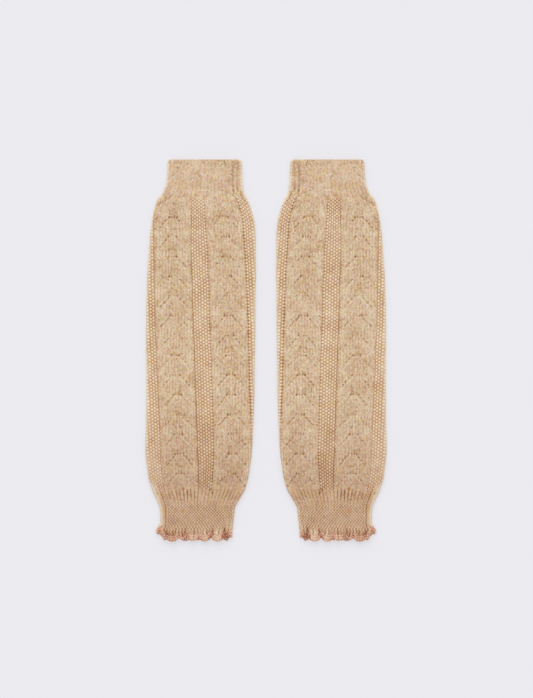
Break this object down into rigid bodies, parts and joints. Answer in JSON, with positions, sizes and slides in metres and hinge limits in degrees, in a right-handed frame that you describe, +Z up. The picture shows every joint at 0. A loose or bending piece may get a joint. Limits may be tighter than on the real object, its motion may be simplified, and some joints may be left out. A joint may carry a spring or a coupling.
{
  "type": "pair of leg warmers",
  "caption": "Pair of knitted leg warmers laid flat, with ribbed cuffs, seed-stitch columns, arch lace panels and a waved ankle frill with a contrast edging.",
  "frame": {"origin": "middle of the pair on the surface that it lies on", "axes": "+Y towards the top cuffs, +Z up from the surface, +X from the left leg warmer to the right one as seen from above"},
  "size_m": [0.2526, 0.4, 0.0078],
  "materials": {
    "oatmeal_wool": "matt knitted melange wool, slightly fuzzy",
    "terracotta_wool": "matt looped wool"
  },
  "bodies": {
    "root": {"top_cuff_left": "oatmeal_wool", "leg_left": "oatmeal_wool", "ankle_cuff_left": "oatmeal_wool", "frill_left": "oatmeal_wool", "edging_left": "terracotta_wool", "top_cuff_right": "oatmeal_wool", "leg_right": "oatmeal_wool", "ankle_cuff_right": "oatmeal_wool", "frill_right": "oatmeal_wool", "edging_right": "terracotta_wool"}
  },
  "joints": []
}
